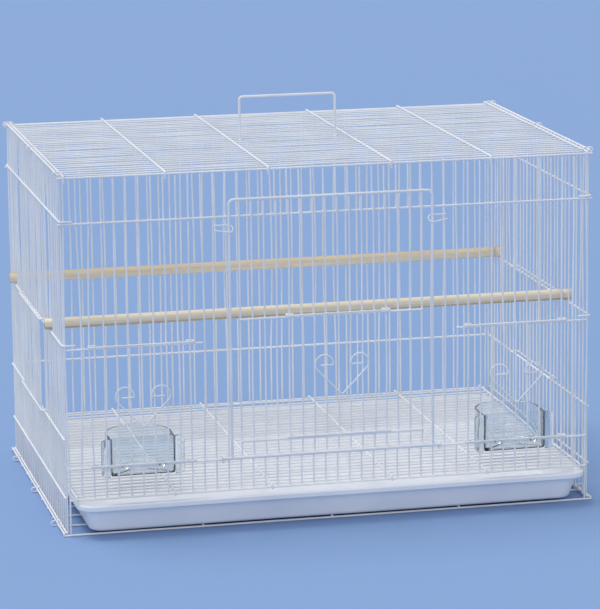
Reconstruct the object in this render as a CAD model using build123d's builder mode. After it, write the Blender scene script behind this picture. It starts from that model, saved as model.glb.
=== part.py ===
from build123d import *
import math
import os

# Flight bird cage, knock-down, made of coated welded wire.
# Millimetres, +Z up, the front faces -Y.
# The origin is on the surface that the cage stands on, at the middle of the cage.

os.makedirs("parts", exist_ok=True)

# Wire diameters
bar_wire = 2.0
rail_wire = 2.4
frame_wire = 3.0
loop_wire = 2.0
ring_wire = 1.6
clip_wire = 1.6
heart_wire = 1.8

# How wires meet
weld_flat = 0.2
weld_touch = 0.02
seat_gap = 0.3
running_gap = 0.4
tight_bend = 2.0
wide_bend = 2.5

# Wire counts and spacing
bar_pitch = 14.0
front_bars = 44
side_bars = 30
top_bars = 29
grate_bars = 29
corner_step = 3.0

# Rail heights
low_rail_z = 41.7
sill_z = 77.5
feeder_guide_z = 214.0
upper_rail_z = 355.5
top_rail_z = 407.0
side_low_z = 44.0
side_sill_z = 111.0
side_guide_z = 219.0
rear_sill_z = 111.0
rear_foot_z = 8.0
rail_overhang = 7.0
side_rail_overhang = 2.0
side_hook_reach = 10.0

# Top, base and grate
top_cross_places = (70.5, 187.0)
top_edge_inset = 0.6
top_hook_drop = 8.5
side_top_rise = 0.8
grate_cross_pitches = (5, 13, 21)
grate_hook_drop = 4.8
base_long_wires = 11
base_cross_places = (0.0, 150.0)
base_edge_step = 2.8
base_nub = 1.5

# Doors
feeder_from_corner = 2
feeder_pitches = 8
door_pitches = 17
door_stand_off = 7.0
door_top_z = 375.5
door_leg_gap = 2.0
door_corner = 6.0
door_knuckle_reach = 7.0
inner_from_jamb = 5
inner_pitches = 8
inner_sill_z = 99.0
inner_guide_z = 239.0
side_door_from_front = 10
side_door_pitches = 11
loop_reach = 3.5
loop_return = 5.0
loop_bend = 2.5
knuckle_turn = 225

# Hearts, bent from one wire each
heart_point_bend = 2.0
heart_lobe = 10.5
heart_lobe_x = 20.5
heart_lobe_z = 36.0
heart_tick = 13.5
heart_tick_bend = 1.5
feeder_heart_lift = 42.5
inner_heart_lift = 46.0
inner_heart_shift = 3.0

# Clips on the main door's legs
clip_z = 343.0
clip_prong = 17.0
clip_half_rise = 3.8

# Carrying handle
handle_width = 115.0
handle_height = 51.0
handle_corner = 4.0
handle_curl = 225

# Hinge rings, long links with round ends
ring_length = 14.0
top_ring_bars = (0, 14, 28)
base_ring_bars = (3, 14, 25)
ring_wires_clear = 1.9

# Wooden perches
perch_d = 12.5
perch_poke = 5.0
perch_slot = 3.0
perch_slot_clear = 0.6
front_perch_bar = 6
rear_perch_bar = 26

# Plastic tray
tray_side_gap = 3.5
tray_shift = 2.5
tray_length = 420.0
tray_front_reach = 20.0
tray_height = 33.0
tray_wall = 2.0
tray_lip = 7.0
tray_lip_skirt = 6.0
tray_wall_lean = 8.0
tray_corner = 14.0
tray_foot_round = 5.0

# Clear plastic feeder cups
cup_body_width = 75.0
cup_plate_width = 95.0
cup_depth = 67.0
cup_straight = 26.0
cup_height = 44.0
cup_wall = 1.6
cup_below_sill = 13.0
cup_corner = 6.0
cup_foot_round = 5.0
cup_hook_pitches = 1.5
cup_hook_width = 7.0
cup_hook_wall = 1.2
cup_hook_drop = 4.0


def evenly(count, pitch):
    """Places spread evenly about zero."""
    return [(number - (count - 1) / 2) * pitch for number in range(count)]


def step(wire_a, wire_b):
    """Distance between the centres of two wires that are welded flat to flat."""
    return (wire_a + wire_b) / 2 - 2 * weld_flat


def within(place, middle, pitches):
    """Whether a bar stands between the jamb wires of an opening."""
    return abs(place - middle) < (pitches - 1) * bar_pitch / 2


# Places worked out from the sizes above
front_span = (front_bars - 1) * bar_pitch
side_span = (side_bars - 1) * bar_pitch
front_x = evenly(front_bars, bar_pitch)
side_y = evenly(side_bars, bar_pitch)

rail_step = step(bar_wire, rail_wire)
front_y = -side_span / 2 - corner_step
front_rail_y = front_y - rail_step
side_x = front_span / 2 + corner_step
side_rail_x = side_x + rail_step
rail_end = front_span / 2 + bar_wire / 2
side_rail_end = side_span / 2 + side_rail_overhang

# The base's long wires lie on the floor, its cross wires lie on them
base_long_z = rail_wire / 2
base_cross_z = base_long_z + step(rail_wire, rail_wire)
base_edge_x = side_rail_x + base_edge_step
corner_foot_z = rail_wire + seat_gap
side_foot_z = rail_wire + seat_gap + rail_wire / 2

# The top's cross wires lie over the front and rear panels' top rails
top_cross_z = top_rail_z + rail_wire + seat_gap
top_long_z = top_cross_z - rail_step
top_edge_x = front_span / 2 - top_edge_inset
side_top_z = top_cross_z + side_top_rise
hook_y = front_rail_y - rail_wire - seat_gap
hook_start_y = -side_span / 2 + corner_step

# The side panels' hooks lie over the front panel's rail and round its corner wire
side_hook_z = upper_rail_z + rail_wire + running_gap
side_hook_y = front_y - bar_wire / 2 - rail_wire / 2 - seat_gap
side_hook_x = front_span / 2 - side_hook_reach

# The grate's cross wires lie over the low rails
grate_cross_z = low_rail_z + rail_wire + seat_gap
grate_long_z = grate_cross_z - rail_step

# Sliding doors: bars in front of the guide rails, rails with folded ends in front
slider_bar_y = -rail_step - rail_wire / 2 - running_gap - bar_wire / 2
slider_rail_y = slider_bar_y - step(bar_wire, loop_wire)
slider_back_y = bar_wire / 2 + seat_gap + loop_wire / 2
slider_seat = rail_wire / 2 + seat_gap + loop_wire / 2

feeder_x = front_span / 2 - (feeder_from_corner + feeder_pitches / 2) * bar_pitch
door_jamb_x = door_pitches * bar_pitch / 2
inner_x = -door_jamb_x + (inner_from_jamb + inner_pitches / 2) * bar_pitch
side_door_y = side_y[0] + (side_door_from_front + side_door_pitches / 2) * bar_pitch

# Main door: bars, then the frame and the rails in front of them
door_bar_y = front_y - door_stand_off
door_frame_y = door_bar_y - step(bar_wire, frame_wire)
door_rail_y = door_bar_y - rail_step
door_leg_x = door_jamb_x - door_leg_gap
door_bar_x = evenly(door_pitches - 1, bar_pitch)
knuckle_r = rail_wire / 2 + seat_gap + frame_wire / 2
door_foot_z = sill_z + knuckle_r
knuckle_x = door_jamb_x + door_knuckle_reach


def wire_run(plane, spots, wire, start, end, flat=(0, 0)):
    """Straight wires side by side, from start to end along a plane's normal.
    Each is pressed flat on the side where the crossing wires are welded on."""
    across, up = flat
    width = 2 * weld_flat if across else wire
    height = 2 * weld_flat if up else wire
    with BuildPart() as run:
        with BuildSketch(plane.offset(start)):
            with Locations(*spots):
                Circle(wire / 2)
            if across or up:
                edge = wire / 2
                with Locations(*[(u + across * edge, v + up * edge) for u, v in spots]):
                    Rectangle(width, height, mode=Mode.SUBTRACT)
        extrude(amount=end - start)
    return run.part


def bent_wire(points, wire, bend):
    """A round wire along straight runs joined by bends of one radius."""
    with BuildPart() as bent:
        with BuildLine():
            route = FilletPolyline(*points, radius=bend)
        with BuildSketch(Plane(route @ 0, z_dir=route % 0)):
            Circle(wire / 2)
        sweep()
    return bent.part


def over_rail_ends(x, z, wire, drop):
    """The two ends of a cross wire, bent down over the front and rear rails."""
    front = bent_wire(
        [(x, hook_start_y, z), (x, hook_y, z), (x, hook_y, z - drop)], wire, tight_bend
    )
    return [front, mirror(front, about=Plane.XZ)]


def upright(spots_x, y, z0, z1, side):
    """Upright bars of the front or rear panel, flat towards their rails."""
    return wire_run(Plane.XY, [(x, y) for x in spots_x], bar_wire, z0, z1, (0, side))


def level(y, heights, x0, x1, side, wire=rail_wire):
    """Rails of the front or rear panel, flat towards their bars."""
    return wire_run(Plane.YZ, [(y, z) for z in heights], wire, x0, x1, (side, 0))


# Front panel, with gaps in its bars for the two feeder doors and the main door
corner_bars = [front_x[0], front_x[-1]]
feeder_bars = [x for x in front_x if within(abs(x), feeder_x, feeder_pitches)]
middle_bars = [x for x in front_x if within(x, 0, door_pitches)]
whole_bars = [
    x for x in front_x if x not in corner_bars + feeder_bars + middle_bars
]
bar_top_z = top_rail_z + rail_wire / 2
bar_low_z = low_rail_z - rail_wire / 2
guide_x0 = feeder_x - (feeder_pitches / 2 + 1) * bar_pitch

front_uprights = [
    upright(corner_bars, front_y, corner_foot_z, bar_top_z, -1),
    upright(whole_bars, front_y, bar_low_z, bar_top_z, -1),
    upright(feeder_bars + middle_bars, front_y, bar_low_z, sill_z + rail_wire / 2, -1),
    upright(feeder_bars, front_y, feeder_guide_z - rail_wire / 2, bar_top_z, -1),
    upright(middle_bars, front_y, upper_rail_z - rail_wire / 2, bar_top_z, -1),
]
front_rails = [
    level(front_rail_y, [low_rail_z, sill_z], -rail_end, rail_end, 1),
    level(
        front_rail_y,
        [upper_rail_z, top_rail_z],
        -rail_end + bar_wire / 2 - rail_overhang,
        rail_end - bar_wire / 2 + rail_overhang,
        1,
    ),
    level(front_rail_y, [feeder_guide_z], guide_x0, rail_end, 1),
    level(front_rail_y, [feeder_guide_z], -rail_end, -guide_x0, 1),
]
with BuildPart() as front_panel:
    add(front_uprights)
    add(front_rails)
front_panel.part.label = "front_panel"
export_step(front_panel.part, "parts/front_panel.step")

# Rear panel, closed down to its foot rail
rear_uprights = [
    upright(corner_bars, -front_y, corner_foot_z, bar_top_z, 1),
    upright(front_x[1:-1], -front_y, rear_foot_z - rail_wire / 2, bar_top_z, 1),
]
rear_rails = [
    level(-front_rail_y, [rear_foot_z, low_rail_z, rear_sill_z], -rail_end, rail_end, -1),
    level(
        -front_rail_y,
        [upper_rail_z, top_rail_z],
        -rail_end + bar_wire / 2 - rail_overhang,
        rail_end - bar_wire / 2 + rail_overhang,
        -1,
    ),
]
with BuildPart() as rear_panel:
    add(rear_uprights)
    add(rear_rails)
rear_panel.part.label = "rear_panel"
export_step(rear_panel.part, "parts/rear_panel.step")

# Side panels. Two of their rails end in hooks round the corner wires
side_door_bars = [y for y in side_y if within(y, side_door_y, side_door_pitches)]
side_whole_bars = [y for y in side_y if y not in side_door_bars]
side_top_end = side_top_z + rail_wire / 2


def side_upright(places, z0, z1):
    """Upright bars of the right side panel."""
    return wire_run(Plane.XY, [(side_x, y) for y in places], bar_wire, z0, z1, (1, 0))


def side_level(heights, reach):
    """Rails of the right side panel, from front to rear."""
    spots = [(side_rail_x, z) for z in heights]
    return wire_run(Plane.XZ, spots, rail_wire, -reach, reach, (-1, 0))


side_uprights = [
    side_upright(side_whole_bars, corner_foot_z, side_top_end),
    side_upright(side_door_bars, corner_foot_z, side_sill_z + rail_wire / 2),
    side_upright(side_door_bars, side_guide_z - rail_wire / 2, side_top_end),
]
side_rails = [
    side_level([side_foot_z, side_low_z, side_sill_z, side_top_z], side_rail_end),
    side_level([side_guide_z, side_hook_z], -hook_start_y),
]
side_hooks = []
for hook_z in (side_guide_z, side_hook_z):
    front_hook = bent_wire(
        [
            (side_rail_x, hook_start_y, hook_z),
            (side_rail_x, side_hook_y, hook_z),
            (side_hook_x, side_hook_y, hook_z),
        ],
        rail_wire,
        wide_bend,
    )
    side_hooks += [front_hook, mirror(front_hook, about=Plane.XZ)]
with BuildPart() as right_panel:
    add(side_uprights)
    add(side_rails)
    add(side_hooks)
right_panel.part.label = "right_panel"
export_step(right_panel.part, "parts/right_panel.step")

with BuildPart() as left_panel:
    mirror(right_panel.part, about=Plane.YZ)
left_panel.part.label = "left_panel"
export_step(left_panel.part, "parts/left_panel.step")

# Top panel: fine wires across, bolder wires front to rear over them
top_cross_x = [side * x for x in (*top_cross_places, top_edge_x) for side in (-1, 1)]
top_long_spots = [(y, top_long_z) for y in evenly(top_bars, bar_pitch)]
top_reach = top_edge_x + rail_wire / 2
top_long = wire_run(Plane.YZ, top_long_spots, bar_wire, -top_reach, top_reach, (0, 1))
top_cross = wire_run(
    Plane.XZ,
    [(x, top_cross_z) for x in top_cross_x],
    rail_wire,
    hook_start_y,
    -hook_start_y,
    (0, -1),
)
top_hooks = []
for x in top_cross_x:
    top_hooks += over_rail_ends(x, top_cross_z, rail_wire, top_hook_drop)
with BuildPart() as top_panel:
    add(top_long)
    add([top_cross, *top_hooks])
top_panel.part.label = "top_panel"
export_step(top_panel.part, "parts/top_panel.step")

# Base panel: the wires that the cage stands on
base_cross_x = sorted({side * x for x in (*base_cross_places, base_edge_x) for side in (-1, 1)})
base_long_y = evenly(base_long_wires, -2 * front_y / (base_long_wires - 1))
base_reach = base_edge_x + base_nub
with BuildPart() as base_panel:
    add(
        wire_run(
            Plane.YZ,
            [(y, base_long_z) for y in base_long_y],
            rail_wire,
            -base_reach,
            base_reach,
            (0, 1),
        )
    )
    add(
        wire_run(
            Plane.XZ,
            [(x, base_cross_z) for x in base_cross_x],
            rail_wire,
            front_y - base_nub,
            -front_y + base_nub,
            (0, -1),
        )
    )
base_panel.part.label = "base_panel"
export_step(base_panel.part, "parts/base_panel.step")

# Floor grate over the tray, hooked over the low rails between the bars
grate_cross_x = [side * n * bar_pitch for n in grate_cross_pitches for side in (-1, 1)]
grate_reach = max(grate_cross_x) + rail_wire / 2
grate_hooks = []
for x in grate_cross_x:
    grate_hooks += over_rail_ends(x, grate_cross_z, rail_wire, grate_hook_drop)
with BuildPart() as floor_grate:
    add(
        wire_run(
            Plane.YZ,
            [(y, grate_long_z) for y in evenly(grate_bars, bar_pitch)],
            bar_wire,
            -grate_reach,
            grate_reach,
            (0, 1),
        )
    )
    add(
        [
            wire_run(
                Plane.XZ,
                [(x, grate_cross_z) for x in grate_cross_x],
                rail_wire,
                hook_start_y,
                -hook_start_y,
                (0, -1),
            ),
            *grate_hooks,
        ]
    )
floor_grate.part.label = "floor_grate"
export_step(floor_grate.part, "parts/floor_grate.step")

# Hinge rings that join the side panels to the top and the base
ring_end_r = ring_wires_clear + ring_wire / 2
ring_half = (ring_length - ring_wire) / 2
ring_side = ring_half - ring_end_r
with BuildPart() as hinge_ring:
    with BuildLine(Plane.XZ):
        Line((-ring_side, ring_end_r), (ring_side, ring_end_r))
        CenterArc((ring_side, 0), ring_end_r, 90, -180)
        Line((ring_side, -ring_end_r), (-ring_side, -ring_end_r))
        CenterArc((-ring_side, 0), ring_end_r, 270, -180)
    with BuildSketch(Plane(origin=(-ring_side, 0, ring_end_r), z_dir=(1, 0, 0))):
        Circle(ring_wire / 2)
    sweep()

ring_reach = rail_wire / 2 + seat_gap + ring_wire / 2
top_ring_y = [side_y[number] + bar_pitch / 4 for number in top_ring_bars]
base_ring_y = [side_y[number] + bar_pitch / 4 for number in base_ring_bars]
top_ring_x = top_edge_x - ring_reach + ring_half
top_ring_z = (top_cross_z + side_top_z) / 2
base_ring_x = side_rail_x - ring_reach + ring_half
base_ring_z = (base_cross_z + side_foot_z) / 2
with BuildPart() as top_rings_right:
    with Locations(*[(top_ring_x, y, top_ring_z) for y in top_ring_y]):
        add(hinge_ring.part)
with BuildPart() as top_rings_left:
    mirror(top_rings_right.part, about=Plane.YZ)
with BuildPart() as base_rings_right:
    with Locations(*[(base_ring_x, y, base_ring_z) for y in base_ring_y]):
        add(hinge_ring.part)
with BuildPart() as base_rings_left:
    mirror(base_rings_right.part, about=Plane.YZ)
for rings, name in (
    (top_rings_right, "top_rings_right"),
    (top_rings_left, "top_rings_left"),
    (base_rings_right, "base_rings_right"),
    (base_rings_left, "base_rings_left"),
):
    rings.part.label = name
    export_step(rings.part, f"parts/{name}.step")

# Main door, which hangs on the sill rail by two curled ends of its foot wire
door_end = door_bar_x[-1] + rail_wire / 2
door_straight = door_bar_x[-1] + bar_pitch / 4
inner_bars = [x for x in door_bar_x if within(x, inner_x, inner_pitches)]
door_whole_bars = [x for x in door_bar_x if x not in inner_bars]
door_bar_foot = door_foot_z - frame_wire / 2
door_bar_top = door_top_z + frame_wire / 2
curl_middle = Vector(0, 0, knuckle_r).rotate(Axis.X, -knuckle_turn / 2)
curl_end = Vector(0, 0, knuckle_r).rotate(Axis.X, -knuckle_turn)
curl_centre = Vector(-knuckle_x, front_rail_y, sill_z)

with BuildPart() as door_knuckle:
    with BuildLine():
        FilletPolyline(
            (-door_straight, door_frame_y, door_foot_z),
            (-knuckle_x, door_frame_y, door_foot_z),
            (-knuckle_x, front_rail_y, door_foot_z),
            radius=wide_bend,
        )
        ThreePointArc(
            curl_centre + Vector(0, 0, knuckle_r), curl_centre + curl_middle, curl_centre + curl_end
        )
    with BuildSketch(
        Plane(origin=(-door_straight, door_frame_y, door_foot_z), z_dir=(-1, 0, 0))
    ):
        Circle(frame_wire / 2)
    sweep()
door_leg = bent_wire(
    [
        (-door_straight, door_frame_y, door_top_z),
        (-door_leg_x, door_frame_y, door_top_z),
        (-door_leg_x, door_frame_y, door_foot_z),
    ],
    frame_wire,
    door_corner,
)
door_uprights = [
    upright(door_whole_bars, door_bar_y, door_bar_foot, door_bar_top, -1),
    upright(inner_bars, door_bar_y, door_bar_foot, inner_sill_z + rail_wire / 2, -1),
    upright(inner_bars, door_bar_y, inner_guide_z - rail_wire / 2, door_bar_top, -1),
]
door_rails = [
    level(door_rail_y, [inner_sill_z, inner_guide_z], -door_end, door_end, 1),
    level(door_frame_y, [door_foot_z, door_top_z], -door_straight, door_straight, 1, frame_wire),
]
door_sides = [door_knuckle.part, door_leg]
door_sides += [mirror(piece, about=Plane.YZ) for piece in door_sides]
with BuildPart() as main_door:
    add(door_uprights)
    add(door_rails)
    add(door_sides)
main_door.part.label = "main_door"
export_step(main_door.part, "parts/main_door.step")

# Clips that turn on the main door's legs, one prong each side of the leg
clip_reach = frame_wire / 2 + seat_gap + clip_wire / 2
clip_bend = (clip_reach**2 + clip_half_rise**2) ** 0.5
with BuildPart() as left_clip:
    with BuildLine(Plane(origin=(-door_leg_x, door_frame_y, clip_z))):
        Line((-clip_prong, -clip_reach, -clip_half_rise), (0, -clip_reach, -clip_half_rise))
        ThreePointArc(
            (0, -clip_reach, -clip_half_rise), (clip_bend, 0, 0), (0, clip_reach, clip_half_rise)
        )
        Line((0, clip_reach, clip_half_rise), (-clip_prong, clip_reach, clip_half_rise))
    with BuildSketch(
        Plane(
            origin=(
                -door_leg_x - clip_prong,
                door_frame_y - clip_reach,
                clip_z - clip_half_rise,
            ),
            z_dir=(1, 0, 0),
        )
    ):
        Circle(clip_wire / 2)
    sweep()
left_clip.part.label = "left_clip"
export_step(left_clip.part, "parts/left_clip.step")

with BuildPart() as right_clip:
    mirror(left_clip.part, about=Plane.YZ)
right_clip.part.label = "right_clip"
export_step(right_clip.part, "parts/right_clip.step")


def sliding_door(pitches, height):
    """A small door that slides up two jamb wires, which stand in the plane y = 0.
    Its rails' folded ends pass round them. The origin is in its lower rail's middle."""
    half = pitches * bar_pitch / 2
    bars = evenly(pitches - 1, bar_pitch)
    overlap = loop_wire / 2
    folds = []
    for z in (0, height):
        left_fold = bent_wire(
            [
                (-half, slider_rail_y, z),
                (-half - loop_reach, slider_rail_y, z),
                (-half - loop_reach, slider_back_y, z),
                (-half + loop_return, slider_back_y, z),
            ],
            loop_wire,
            loop_bend,
        )
        folds += [left_fold, mirror(left_fold, about=Plane.YZ)]
    with BuildPart() as door:
        add(upright(bars, slider_bar_y, -overlap, height + overlap, -1))
        add([level(slider_rail_y, [0, height], -half, half, 1, loop_wire), *folds])
    return door.part


def heart():
    """A heart bent from one wire, with its point at the origin, facing the front.
    Each side runs straight to its lobe, and its end turns back across the lobe."""
    far = math.hypot(heart_lobe_x, heart_lobe_z)
    side = math.sqrt(far**2 - heart_lobe**2)
    slope = math.atan2(heart_lobe_z, heart_lobe_x) - math.asin(heart_lobe / far)
    shoulder_x = side * math.cos(slope)
    shoulder_z = side * math.sin(slope)
    with BuildPart() as outline:
        with BuildLine(Plane.XZ) as route:
            FilletPolyline(
                (-shoulder_x, shoulder_z), (0, 0), (shoulder_x, shoulder_z), radius=heart_point_bend
            )
            CenterArc(
                (heart_lobe_x, heart_lobe_z),
                heart_lobe,
                math.degrees(slope) - 90,
                270 - math.degrees(slope),
            )
            turn = JernArc(
                (heart_lobe_x - heart_lobe, heart_lobe_z), (0, -1), heart_tick_bend, 90
            )
            Line(turn @ 1, turn @ 1 + Vector(heart_tick, 0, 0))
            mirror(about=Plane.YZ)
        whole = route.wires()[0]
        with BuildSketch(Plane(whole @ 0, z_dir=whole % 0)):
            Circle(heart_wire / 2)
        sweep(path=whole)
    return outline.part


# Feeder doors, one each side
small_door = sliding_door(feeder_pitches, feeder_guide_z - sill_z)
heart_front = -bar_wire / 2 - heart_wire / 2 - weld_touch
with BuildPart() as right_feeder_door:
    with Locations((feeder_x, front_y, sill_z + slider_seat)):
        add(small_door)
right_feeder_door.part.label = "right_feeder_door"
export_step(right_feeder_door.part, "parts/right_feeder_door.step")

with BuildPart() as left_feeder_door:
    with Locations((-feeder_x, front_y, sill_z + slider_seat)):
        add(small_door)
left_feeder_door.part.label = "left_feeder_door"
export_step(left_feeder_door.part, "parts/left_feeder_door.step")

# Inner door, which slides on the main door
inner_slider = sliding_door(inner_pitches, inner_guide_z - inner_sill_z)
with BuildPart() as inner_door:
    with Locations((inner_x, door_bar_y, inner_sill_z + slider_seat)):
        add(inner_slider)
inner_door.part.label = "inner_door"
export_step(inner_door.part, "parts/inner_door.step")

# Hearts, welded to the fronts of the three doors
heart_shape = heart()
feeder_heart_z = sill_z + slider_seat + feeder_heart_lift
inner_heart_z = inner_sill_z + slider_seat + inner_heart_lift
for name, place in (
    ("left_heart", (-feeder_x, front_y + slider_bar_y + heart_front, feeder_heart_z)),
    ("right_heart", (feeder_x, front_y + slider_bar_y + heart_front, feeder_heart_z)),
    (
        "middle_heart",
        (inner_x + inner_heart_shift, door_bar_y + slider_bar_y + heart_front, inner_heart_z),
    ),
):
    with BuildPart() as heart_piece:
        with Locations(place):
            add(heart_shape)
    heart_piece.part.label = name
    export_step(heart_piece.part, f"parts/{name}.step")

# Nest box doors, one in each side panel
side_slider = sliding_door(side_door_pitches, side_guide_z - side_sill_z)
with BuildPart() as right_side_door:
    with Locations(Location((side_x, side_door_y, side_sill_z + slider_seat), (0, 0, 90))):
        add(side_slider)
right_side_door.part.label = "right_side_door"
export_step(right_side_door.part, "parts/right_side_door.step")

with BuildPart() as left_side_door:
    mirror(right_side_door.part, about=Plane.YZ)
left_side_door.part.label = "left_side_door"
export_step(left_side_door.part, "parts/left_side_door.step")

# Carrying handle, curled round the middle wire of the top panel
handle_r = bar_wire / 2 + seat_gap + frame_wire / 2
handle_x = handle_width / 2
pivot = Vector(-handle_x, 0, top_long_z)
handle_start = Vector(0, handle_r, 0)
with BuildPart() as handle_half:
    with BuildLine():
        ThreePointArc(
            pivot + handle_start.rotate(Axis.X, -handle_curl),
            pivot + handle_start.rotate(Axis.X, -handle_curl / 2),
            pivot + handle_start,
        )
        FilletPolyline(
            pivot + handle_start,
            pivot + handle_start + Vector(0, 0, handle_height),
            (0, handle_r, top_long_z + handle_height),
            radius=handle_corner,
        )
    with BuildSketch(Plane(origin=(0, handle_r, top_long_z + handle_height), z_dir=(-1, 0, 0))):
        Circle(frame_wire / 2)
    sweep()
with BuildPart() as carry_handle:
    add(handle_half.part)
    mirror(about=Plane.YZ)
carry_handle.part.label = "carry_handle"
export_step(carry_handle.part, "parts/carry_handle.step")

# Perches, which straddle a side bar at each end and lie on the side guide rails
perch_half = side_rail_x + rail_wire / 2 + perch_poke
perch_z = side_guide_z + rail_wire / 2 + seat_gap + perch_d / 2
perch_slot_x = side_x - bar_wire / 2 - perch_slot_clear
for name, number in (("front_perch", front_perch_bar), ("rear_perch", rear_perch_bar)):
    with BuildPart() as perch:
        with BuildSketch(Plane.YZ.offset(-perch_half)):
            with Locations((side_y[number], perch_z)):
                Circle(perch_d / 2)
        extrude(amount=2 * perch_half)
        for side in (-1, 1):
            with Locations((side * perch_slot_x, side_y[number], perch_z)):
                Box(
                    perch_half,
                    perch_slot,
                    perch_d,
                    align=(Align.MIN if side > 0 else Align.MAX, Align.CENTER, Align.CENTER),
                    mode=Mode.SUBTRACT,
                )
    perch.part.label = name
    export_step(perch.part, f"parts/{name}.step")

# Slide-out tray: leaning walls, rounded foot, and a lip with a skirt round the rim
tray_z = base_cross_z + rail_wire / 2 + seat_gap
tray_y = front_y - tray_front_reach + tray_length / 2
tray_width = 2 * (front_x[-1] - bar_wire / 2 - tray_side_gap)
mouth_width = tray_width - 2 * tray_lip
mouth_length = tray_length - 2 * tray_lip
foot_width = mouth_width - 2 * tray_wall_lean
foot_length = mouth_length - 2 * tray_wall_lean


def tray_body(shrink, z0, z1):
    """The tray's outer or inner body, with its foot edges rounded."""
    with BuildPart() as body:
        with BuildSketch(Plane((tray_shift, tray_y, z0))):
            RectangleRounded(
                foot_width - 2 * shrink, foot_length - 2 * shrink, tray_corner - shrink
            )
        with BuildSketch(Plane((tray_shift, tray_y, z1))):
            RectangleRounded(
                mouth_width - 2 * shrink, mouth_length - 2 * shrink, tray_corner - shrink
            )
        loft()
        fillet(body.faces().sort_by(Axis.Z)[0].edges(), radius=tray_foot_round - shrink)
    return body.part


rim_z = tray_z + tray_height
with BuildPart() as slide_tray:
    add(tray_body(0, tray_z, rim_z))
    add(tray_body(tray_wall, tray_z + tray_wall, rim_z), mode=Mode.SUBTRACT)
    with BuildSketch(Plane((tray_shift, tray_y, rim_z - tray_wall))):
        RectangleRounded(tray_width, tray_length, tray_corner + tray_lip)
        RectangleRounded(
            mouth_width - tray_wall, mouth_length - tray_wall, tray_corner, mode=Mode.SUBTRACT
        )
    extrude(amount=tray_wall)
    with BuildSketch(Plane((tray_shift, tray_y, rim_z - tray_lip_skirt))):
        RectangleRounded(tray_width, tray_length, tray_corner + tray_lip)
        RectangleRounded(
            tray_width - 2 * tray_wall,
            tray_length - 2 * tray_wall,
            tray_corner + tray_lip - tray_wall,
            mode=Mode.SUBTRACT,
        )
    extrude(amount=tray_lip_skirt)
slide_tray.part.label = "slide_tray"
export_step(slide_tray.part, "parts/slide_tray.step")

# Feeder cups: a flat plate behind the bars, a round-backed cup, two hooks over the sill
cup_plate_y = front_y + bar_wire / 2 + running_gap
cup_foot_z = sill_z - cup_below_sill
cup_top_z = cup_foot_z + cup_height
hook_top_z = sill_z + rail_wire / 2 + seat_gap + cup_hook_wall
hook_foot_z = hook_top_z - cup_hook_wall - cup_hook_drop
hook_front_y = front_rail_y - rail_wire / 2 - seat_gap - cup_hook_wall


def cup_body(inset, z0):
    """The cup's outer or inner body: flat in front, straight sides and a round back."""
    half = cup_body_width / 2 - inset
    with BuildPart() as body:
        with BuildSketch(Plane((0, cup_plate_y, z0))):
            with BuildLine():
                Polyline(
                    (-half, cup_straight), (-half, inset), (half, inset), (half, cup_straight)
                )
                ThreePointArc(
                    (half, cup_straight), (0, cup_depth - inset), (-half, cup_straight)
                )
            make_face()
        extrude(amount=cup_top_z - z0)
        fillet(body.faces().sort_by(Axis.Z)[0].edges(), radius=cup_foot_round - inset)
    return body.part


def cup(x):
    """One feeder cup, hung at a place along the front panel."""
    outside = cup_body(0, cup_foot_z)
    inside = cup_body(cup_wall, cup_foot_z + cup_wall)
    with BuildPart() as piece:
        with Locations((x, 0, 0)):
            add(outside)
            add(inside, mode=Mode.SUBTRACT)
        with BuildSketch(Plane.XZ.offset(-cup_plate_y - cup_wall)):
            with Locations((x, (cup_foot_z + cup_top_z) / 2)):
                RectangleRounded(cup_plate_width, cup_height, cup_corner)
        extrude(amount=cup_wall)
        for side in (-1, 1):
            hook_x = x + side * cup_hook_pitches * bar_pitch
            with BuildSketch(Plane.YZ.offset(hook_x)):
                with BuildLine():
                    Polyline(
                        (cup_plate_y + cup_wall / 2, hook_top_z),
                        (hook_front_y, hook_top_z),
                        (hook_front_y, hook_foot_z),
                        (hook_front_y + cup_hook_wall, hook_foot_z),
                        (hook_front_y + cup_hook_wall, hook_top_z - cup_hook_wall),
                        (cup_plate_y + cup_wall / 2, hook_top_z - cup_hook_wall),
                        close=True,
                    )
                make_face()
            extrude(amount=cup_hook_width / 2, both=True)
    return piece.part


for name, x in (("left_cup", -feeder_x), ("right_cup", feeder_x)):
    feeder_cup = cup(x)
    feeder_cup.label = name
    export_step(feeder_cup, f"parts/{name}.step")
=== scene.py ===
# %% [markdown]
# # A flight cage for small birds, made of coated wire
#
# The real cage is a set of flat grids. Each grid is straight steel wire, welded where the wires
# cross and then dipped or sprayed white, and the grids are hooked and ringed together. So nearly
# everything here is one shape, a round wire along a path, and the lesson is how to make hundreds
# of them as whole arrays. The few other pieces are two wooden perches, a moulded tray and two
# clear feeder cups.
#
# Every piece stays where the frame has it. The frame gives the planes and corners, and the wire
# sizes below give the rest, in millimetres.

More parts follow.
